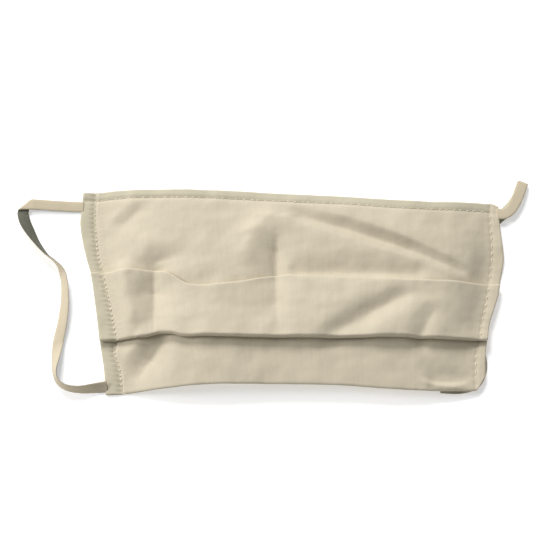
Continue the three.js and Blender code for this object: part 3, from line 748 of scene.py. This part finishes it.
def cloth_piece(name, shares, across, section, x_of, wall, thinness):
    """Closed cloth from its sections: a face side, a back side and a rim."""
    y, z, ny, nz, off = section
    rows, columns = y.shape
    share = np.broadcast_to(shares, y.shape)
    across = np.broadcast_to(across, y.shape)
    half = wall / 2 * thinness
    step = np.hypot(np.diff(y, axis=0), np.diff(z, axis=0))
    run = np.concatenate([np.zeros((1, columns)), np.cumsum(step, axis=0)])
    points = []
    for side in (1, -1):
        py = y + side * ny * half
        px = x_of(share, py)
        lift = relief_height(px, py) + off * lip_height(px, py, across) + cloth_unevenness(px, py, side)
        pz = np.maximum(z + side * nz * half + lift, TABLE_GAP / 2)
        points.append(np.stack([px, py, pz], -1) + SHIFT)
    uvs = np.stack([(share - 0.5) * MASK_WIDTH, -run], -1)
    back = rows * columns
    at = np.arange(back).reshape(rows, columns)
    a, b, c, d = at[:-1, :-1], at[1:, :-1], at[1:, 1:], at[:-1, 1:]
    front = np.stack([a, b, c, d], -1).reshape(-1, 4)
    rear = np.stack([a, d, c, b], -1).reshape(-1, 4) + back
    ring = np.concatenate([at[:-1, 0], at[-1, :-1], at[:0:-1, -1], at[0, :0:-1]])
    after = np.roll(ring, -1)
    rim = np.stack([after, ring, ring + back, after + back], -1)
    faces = np.concatenate([front, rear, rim]).tolist()
    all_points = np.concatenate([p.reshape(-1, 3) for p in points])
    return make_mesh(name, all_points, faces, np.concatenate([uvs.reshape(-1, 2)] * 2))


# The seams between the panel and its margins run along these rows.
def left_row(y):
    return left_edge(y) + left_hem_at(y) + SEAM_GAP / 2


def right_row(y):
    return right_edge(y) - right_hem_at(y) - SEAM_GAP / 2


def top_row(across):
    return cross_line("top", across) - TOP_HEM_WIDTH - SEAM_GAP / 2


def panel_x(share, y):
    """Place across the panel, from its left seam to its right one."""
    return mix(left_row(y) - TUCK, right_row(y) + TUCK, share)


def soft_noise(x, y, seed, scale):
    """Smooth seeded unevenness between -1 and 1."""
    rng = np.random.default_rng(seed)
    waves = 14
    total = np.zeros_like(x)
    for _ in range(waves):
        angle = rng.uniform(0, math.pi)
        wave = 2 * math.pi / (scale * rng.uniform(0.7, 1.6))
        total += np.sin(wave * (x * math.cos(angle) + y * math.sin(angle)) + rng.uniform(0, 2 * math.pi))
    return total / waves ** 0.5 / 1.6


def cloth_unevenness(x, y, side):
    """Soft hand-made unevenness, and puckers that the stitch rows pull up beside them."""
    across = np.clip((x - left_edge(y)) / (right_edge(y) - left_edge(y)), 0, 1)
    from_left = np.abs(x - left_row(y))
    from_right = np.abs(x - right_row(y))
    from_top = np.abs(y - top_row(across))
    fade = ease(np.minimum(from_left, from_right) / UNEVEN_FADE)
    waves = soft_noise(x, y, 3, BROAD_WAVE) + FINE_SHARE * soft_noise(x, y, 4, FINE_WAVE)
    height = fade * UNEVEN * waves
    if side == 1:
        zigzag = SCALLOP * (np.abs((y / LEFT_PITCH) % 1 - 0.5) * 4 - 1)
        for away, depth, inner, outer in (
            (x - left_row(y) - zigzag, LEFT_GROOVE, 0.6 * MM, 1.7 * MM),
            (right_row(y) - x, RIGHT_GROOVE, 0.9 * MM, 0.9 * MM),
            (top_row(across) - y, TOP_GROOVE * mix(1.6, 0.8, across), 0.9 * MM, 0.9 * MM),
        ):
            height = height - depth * np.exp(-(away / np.where(away > 0, inner, outer)) ** 2)
    height += PUCKER * np.exp(-from_left / PUCKER_REACH) * np.cos(2 * math.pi * y / LEFT_PITCH)
    height += 0.6 * PUCKER * np.exp(-from_right / PUCKER_REACH) * np.cos(2 * math.pi * y / RIGHT_PITCH)
    drift = soft_noise(x, 0 * y, 8, DRIFT_WAVE)
    top_pucker = 1.6 * PUCKER * mix(1.0, 0.35, across)
    height += top_pucker * np.exp(-from_top / TOP_PUCKER_REACH) * drift * fade
    return height


def seam_thinness(left, right, top):
    """Share of the wall left where a stitch row pulls the cloth together."""
    thin = 1.0
    for distance, reach in ((left, 0.7 * SEAM_REACH), (right, SEAM_REACH), (top, SEAM_REACH)):
        thin = thin * mix(SEAM_PINCH, 1, ease(distance / reach))
    return thin


def round_border(share):
    """Thickness of a wall that closes to a round border, from 0 at the border to 1 inside."""
    return np.sqrt(np.clip(1 - (1 - np.clip(share, 0, 1)) ** 2, 0.04, 1))


def hem_thinness(share):
    """Margin's section: a soft rounded fold outside and pinched in at the stitch row."""
    return round_border(share / HEM_FOLD_SHARE) * mix(SEAM_PINCH, 1, ease((1 - share) / HEM_PINCH_SHARE))


# Columns of the panel across the mask, closer together towards both seams.
PANEL_COLUMNS = 214
CROWDING = 0.54
panel_shares = np.linspace(0, 1, PANEL_COLUMNS)
panel_shares = panel_shares - CROWDING * np.sin(2 * math.pi * panel_shares) / (2 * math.pi)
panel_across = mix(INSET_SHARE, 1 - INSET_SHARE, panel_shares)
panel_bottom_y = cross_line("bottom", panel_across)
panel_section = folded_section(panel_across, top_row(panel_across) + TUCK, panel_bottom_y)
panel_y = panel_section[0]
panel_plan_x = panel_x(panel_shares, panel_y)
panel_thinness = seam_thinness(
    panel_plan_x - left_row(panel_y), right_row(panel_y) - panel_plan_x, top_row(panel_across) - panel_y,
)
lower_fold = (panel_y - panel_bottom_y) / CLOTH_WALL
panel_thinness = panel_thinness * round_border(lower_fold)
panel = cloth_piece("panel_cloth", panel_shares, panel_across, panel_section, panel_x, CLOTH_WALL,
                    panel_thinness)

TOP_STEPS = 12
top_edge_y = cross_line("top", panel_across)
top_section = flat_section(panel_across, top_edge_y, top_row(panel_across) - TUCK, TOP_STEPS)
top_share = np.linspace(0, 1, TOP_STEPS + 1)[:, None] * np.ones_like(panel_across)
top_y = top_section[0]
top_plan_x = panel_x(panel_shares, top_y)
top_thinness = hem_thinness(top_share) * seam_thinness(
    top_plan_x - left_row(top_y), right_row(top_y) - top_plan_x, 1.0)
top_margin = cloth_piece("top_margin", panel_shares, panel_across, top_section, panel_x, HEM_WALL,
                         top_thinness)

side_shares = 0.5 - 0.5 * np.cos(np.linspace(0, math.pi, 15))
left_across = side_shares * HEM_SHARE
left_margin = cloth_piece(
    "left_margin", side_shares, left_across,
    folded_section(left_across, cross_line("top", left_across), cross_line("bottom", left_across)),
    lambda share, y: mix(left_edge(y), left_row(y) + TUCK, share), HEM_WALL,
    hem_thinness(side_shares),
)
right_across = 1 - side_shares * HEM_SHARE
right_margin = cloth_piece(
    "right_margin", side_shares, right_across,
    folded_section(right_across, cross_line("top", right_across), cross_line("bottom", right_across)),
    lambda share, y: mix(right_edge(y), right_row(y) - TUCK, share), HEM_WALL,
    hem_thinness(side_shares),
)
right_margin.data.flip_normals()
for piece, node, slot in (
    (panel, "pleated_panel", "panel_cloth"),
    (top_margin, "top_hem", "hem_cloth"),
    (left_margin, "left_side_hem", "hem_cloth"),
    (right_margin, "right_side_hem", "hem_cloth"),
):
    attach(piece, "root")
    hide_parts(node)


# Stitches: short threads along the three seams.
def surface_point(x, y, across, layer):
    """Point on the visible cloth: layer 0 beside the raised middle, 2 on it."""
    lift = relief_height(x, y) + cloth_unevenness(x, y, 1)
    if layer == 2:
        lift = lift + lip_height(x, y, across)
    top = BASE_LEVEL + layer * LAYER_PITCH + CLOTH_WALL / 2 + THREAD_LIFT
    return np.stack([x, y, top + lift], -1) + SHIFT


def side_line(row_at, share, from_y, to_y, layer):
    """Points down a side seam on one layer of the pleated cloth."""
    y = np.linspace(from_y, to_y, 160)
    return surface_point(row_at(y), y, share * np.ones_like(y), layer)


def top_line(from_share, to_share):
    """Points along the upper seam."""
    share = np.linspace(from_share, to_share, 500)
    across = mix(INSET_SHARE, 1 - INSET_SHARE, share)
    y = top_row(across)
    return surface_point(panel_x(share, y), y, across, 0)


def one_stitch(length, width, height):
    """A short thread, fat in the middle, that dives into the cloth at both ends."""
    bpy.ops.object.select_all(action="DESELECT")
    lying = (0, math.pi / 2, 0)
    bpy.ops.mesh.primitive_uv_sphere_add(segments=8, ring_count=6, radius=0.5, rotation=lying)
    bpy.ops.object.transform_apply(location=False, rotation=True, scale=False)
    bpy.ops.object.mode_set(mode="EDIT")
    bpy.ops.mesh.select_all(action="SELECT")
    bpy.ops.transform.resize(value=(length, width, height))
    bpy.ops.object.mode_set(mode="OBJECT")
    stitch = bpy.context.object
    for vertex in stitch.data.vertices:
        vertex.co.z -= 0.8 * height * (2 * vertex.co.x / length) ** 2
    stitch.data.polygons.foreach_set("use_smooth", [True] * len(stitch.data.polygons))
    return stitch


def sew(name, lines, pitch, size, slant, uneven, seed):
    """Copies of one stitch along lines on the cloth, joined into one piece."""
    rng = np.random.default_rng(seed)
    model = one_stitch(*size)
    copies = []
    for line in lines:
        run = np.concatenate([[0], np.cumsum(np.linalg.norm(np.diff(line, axis=0), axis=1))])
        for place in np.arange(pitch / 2, run[-1] - pitch / 4, pitch):
            place = place + rng.uniform(-uneven, uneven) * pitch
            middle, before, after = (
                Vector([float(np.interp(at, run, line[:, c])) for c in range(3)])
                for at in (place, place - pitch / 3, place + pitch / 3)
            )
            along = (after - before).normalized()
            side = Vector((0, 0, 1)).cross(along).normalized()
            turn = slant + rng.uniform(-1.2, 1.2) * uneven
            along = (along * math.cos(turn) + side * math.sin(turn)).normalized()
            side = Vector((0, 0, 1)).cross(along).normalized()
            up = along.cross(side)
            matrix = Matrix((along, side, up)).transposed().to_4x4()
            matrix.translation = middle
            copy = model.copy()
            copy.data = model.data.copy()
            shorter = 1 - 1.5 * uneven * rng.uniform(0, 1)
            wider = 1 + 2 * uneven * rng.uniform(-0.5, 1)
            copy.data.transform(matrix @ Matrix.Diagonal((shorter, wider, 1, 1)))
            bpy.context.collection.objects.link(copy)
            copies.append(copy)
    bpy.data.objects.remove(model)
    bpy.ops.object.select_all(action="DESELECT")
    for copy in copies:
        copy.select_set(True)
    bpy.context.view_layer.objects.active = copies[0]
    bpy.ops.object.join()
    piece = bpy.context.object
    piece.name = name
    for vertex in piece.data.vertices:
        vertex.co.z = max(vertex.co.z, TABLE_GAP / 2)
    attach(piece, "root")
    return piece


def side_lines(row_at, share, over_fold):
    """A side seam's three lines: above the raised middle, on it and below it."""
    top = float(top_row(share)) - MM
    up = float(cross_line("up_fold", share))
    low = float(cross_line("low_fold", share))
    bottom = float(cross_line("bottom", share)) + 2 * MM
    return [side_line(row_at, share, top, up + MM, 0),
            side_line(row_at, share, up - over_fold, low + 1.5 * MM, 2),
            side_line(row_at, share, low - 1.5 * MM, bottom, 0)]


left_stitches = sew("left_stitches", side_lines(left_row, HEM_SHARE, 2 * MM), LEFT_PITCH,
                    size=(2.1 * MM, 1.3 * MM, 0.7 * MM), slant=0.15, uneven=0.12, seed=11)
right_stitches = sew("right_stitches", side_lines(right_row, 1 - HEM_SHARE, 1.5 * MM), RIGHT_PITCH,
                     size=(2.5 * MM, 0.75 * MM, 0.5 * MM), slant=0.0, uneven=0.14, seed=12)
top_stitches = sew("top_stitches", [top_line(0.005, 0.985)], TOP_PITCH,
                   size=(2.5 * MM, 0.65 * MM, 0.45 * MM), slant=0.0, uneven=0.24, seed=13)


# Materials: woven cotton and ribbed elastic, in light and dark threads, and darker copies of them as
# painted shade.
def new_material(name):
    material = bpy.data.materials.new(name)
    material.use_nodes = True
    nodes = material.node_tree.nodes
    return material, nodes, material.node_tree.links, nodes["Principled BSDF"]


def streaks(nodes, links, place, scale, detail=2.0):
    """Noise drawn out along the cloth or across it; scale is per metre."""
    mapping = nodes.new("ShaderNodeMapping")
    mapping.inputs["Scale"].default_value = (*scale, 1)
    noise = nodes.new("ShaderNodeTexNoise")
    noise.inputs["Scale"].default_value = 1
    noise.inputs["Detail"].default_value = detail
    links.new(place.outputs["UV"], mapping.inputs["Vector"])
    links.new(mapping.outputs["Vector"], noise.inputs["Vector"])
    return noise.outputs["Fac"]


def blend(nodes, links, first, second, factor):
    """Mix of two patterns."""
    node = nodes.new("ShaderNodeMix")
    node.data_type = "FLOAT"
    node.inputs[0].default_value = factor
    links.new(first, node.inputs[2])
    links.new(second, node.inputs[3])
    return node.outputs[0]


def bump(nodes, links, height, distance, strength, below=None):
    """Fine relief from a pattern, on top of the relief below it."""
    node = nodes.new("ShaderNodeBump")
    node.inputs["Distance"].default_value = distance
    node.inputs["Strength"].default_value = strength
    links.new(height, node.inputs["Height"])
    if below is not None:
        links.new(below, node.inputs["Normal"])
    return node.outputs["Normal"]


def cotton(name, light, dark):
    """Plain-woven cotton: warp and weft threads, slubby streaks, soft crumples, dull sheen."""
    material, nodes, links, shader = new_material(name)
    place = nodes.new("ShaderNodeTexCoord")
    warp = streaks(nodes, links, place, (2400, 260))
    weft = streaks(nodes, links, place, (260, 2400))
    slubs = streaks(nodes, links, place, (620, 34), 4)
    patches = nodes.new("ShaderNodeTexNoise")
    patches.inputs["Scale"].default_value = 45
    patches.inputs["Detail"].default_value = 4
    links.new(place.outputs["Object"], patches.inputs["Vector"])
    weave = blend(nodes, links, warp, weft, 0.5)
    tint = blend(nodes, links, blend(nodes, links, patches.outputs["Fac"], slubs, 0.45), weave, 0.3)
    ramp = nodes.new("ShaderNodeValToRGB")
    ramp.color_ramp.elements[0].position = 0.38
    ramp.color_ramp.elements[0].color = (*dark, 1)
    ramp.color_ramp.elements[1].position = 0.62
    ramp.color_ramp.elements[1].color = (*light, 1)
    links.new(tint, ramp.inputs["Fac"])
    links.new(ramp.outputs["Color"], shader.inputs["Base Color"])
    soft = nodes.new("ShaderNodeTexNoise")
    soft.inputs["Scale"].default_value = 170
    soft.inputs["Detail"].default_value = 3
    links.new(place.outputs["Object"], soft.inputs["Vector"])
    crumpled = bump(nodes, links, soft.outputs["Fac"], 0.0008, 0.30)
    links.new(bump(nodes, links, weave, 0.0003, 0.18, crumpled), shader.inputs["Normal"])
    shader.inputs["Roughness"].default_value = 0.92
    shader.inputs["Specular IOR Level"].default_value = 0.25
    shader.inputs["Sheen Weight"].default_value = 0.08
    shader.inputs["Sheen Roughness"].default_value = 0.5
    return material


panel_cotton = cotton("unbleached_cotton", (0.595, 0.530, 0.405), (0.545, 0.482, 0.365))
# Darker copy of the panel's cotton for the top and left margins: painted shade.
hem_cotton_painted_shade = cotton("turned_cotton_painted_shade", (0.550, 0.500, 0.375), (0.500, 0.455, 0.340))
thread = cotton("sewing_thread", (0.64, 0.57, 0.435), (0.58, 0.51, 0.385))
elastic = cotton("ribbed_elastic", (0.58, 0.50, 0.365), (0.51, 0.44, 0.32))
# Reverse faces of the loops: near-black painted shade on the left loop, and a grey that is partly
# painted shade on the right loop.
elastic_reverse_painted_shade = cotton("ribbed_elastic_reverse_painted_shade", (0.15, 0.15, 0.115), (0.10, 0.10, 0.075))
elastic_shaded = cotton("ribbed_elastic_shaded", (0.44, 0.42, 0.32), (0.38, 0.36, 0.27))
for piece, material in (
    (panel, panel_cotton),
    (top_margin, hem_cotton_painted_shade),
    (left_margin, hem_cotton_painted_shade),
    # The right margin keeps the panel's cotton, without the other margins' painted shade.
    (right_margin, panel_cotton),
    (left_stitches, thread),
    (right_stitches, thread),
    (top_stitches, thread),
):
    piece.data.materials.clear()
    piece.data.materials.append(material)
# Slot 1 gets the painted shade: near-black on the left loop, lighter grey on the right loop.
for loop, inside in ((left_loop, elastic_reverse_painted_shade), (right_loop, elastic_shaded)):
    loop.data.materials[0] = elastic
    loop.data.materials[1] = inside

# Pale floor and two soft lights.
bpy.ops.mesh.primitive_plane_add(size=6, location=(0, 0, 0))
floor = bpy.context.object
floor.name = "floor"
floor_material, _, _, floor_shader = new_material("pale_floor")
floor_shader.inputs["Base Color"].default_value = (0.92, 0.92, 0.92, 1)
floor_shader.inputs["Roughness"].default_value = 0.9
floor_shader.inputs["Emission Color"].default_value = (1, 1, 1, 1)
floor_shader.inputs["Emission Strength"].default_value = 0.35
floor.data.materials.append(floor_material)


def area_light(name, place, target, size, power):
    data = bpy.data.lights.new(name, "AREA")
    data.shape = "DISK"
    data.size = size
    data.energy = power
    light = bpy.data.objects.new(name, data)
    light.location = place
    light.rotation_euler = (Vector(target) - Vector(place)).to_track_quat("-Z", "Y").to_euler()
    bpy.context.collection.objects.link(light)


area_light("key", (-0.60, 2.15, 1.75), (0, 0, 0), 1.1, 70)
area_light("left", (-2.25, 0.40, 1.34), (0, 0, 0), 1.2, 38)
world = bpy.data.worlds.new("studio")
bpy.context.scene.world = world
world.use_nodes = True
world.node_tree.nodes["Background"].inputs["Color"].default_value = (0.98, 0.99, 1.0, 1)
world.node_tree.nodes["Background"].inputs["Strength"].default_value = 0.32
bpy.context.scene.view_settings.view_transform = "Standard"
